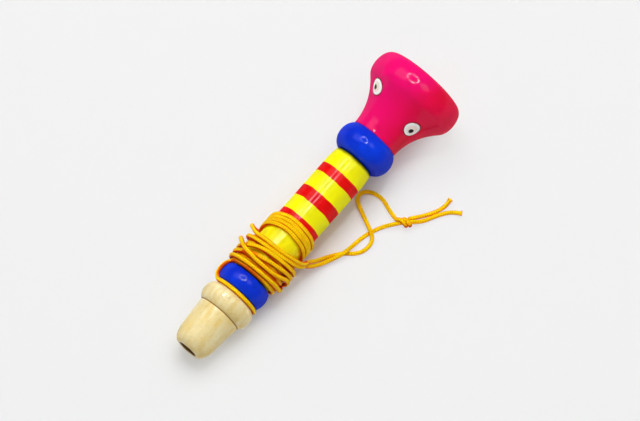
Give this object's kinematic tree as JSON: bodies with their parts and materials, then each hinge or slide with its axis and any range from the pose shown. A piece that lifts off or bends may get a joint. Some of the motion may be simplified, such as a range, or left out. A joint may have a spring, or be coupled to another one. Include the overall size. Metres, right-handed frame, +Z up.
{
  "type": "toy trumpet",
  "caption": "Turned wooden toy trumpet with a reed in the mouthpiece, bead rings, a painted barrel and bell, and a neck cord wound round the barrel, blown by a child",
  "frame": {"origin": "on the surface that the trumpet lies on, under the middle of its length", "axes": "+X from the mouthpiece to the bell, +Z up, +Y across the trumpet. The trumpet lies on its collar and its bell, so its own axis climbs by 4.4 degrees towards the bell"},
  "size_m": [0.1684, 0.0733, 0.0469],
  "materials": {
    "lacquered_wood": "clear lacquer on pale turned wood",
    "blue_gloss": "gloss blue paint on turned wood",
    "yellow_gloss": "gloss yellow paint with red stripes on turned wood",
    "magenta_gloss": "gloss magenta paint with painted eyes on turned wood",
    "braided_cord": "orange-yellow braided cord",
    "reed_brass": "rolled strip",
    "reed_plastic": "moulded ivory plastic"
  },
  "bodies": {
    "trumpet": {"mouthpiece": "lacquered_wood", "lower_ring": "blue_gloss", "barrel": "yellow_gloss", "upper_ring": "blue_gloss", "bell": "magenta_gloss", "reed_sleeve": "reed_plastic", "tone_board": "reed_plastic", "reed_wedge": "reed_plastic", "cord_winding": "braided_cord", "cord_strand_a": "braided_cord", "cord_strand_b": "braided_cord", "cord_knot": "braided_cord", "cord_tail_a": "braided_cord"},
    "reed": {"reed_tongue": "reed_brass"}
  },
  "joints": [
    {"name": "reed_flex", "type": "hinge", "parent": "trumpet", "child": "reed", "pos_m": [-0.05091, 0, 0.01407], "axis": [0, 1, 0], "range_deg": [-2.5, 3], "stiffness_Nm_per_rad": 0.015}
  ]
}
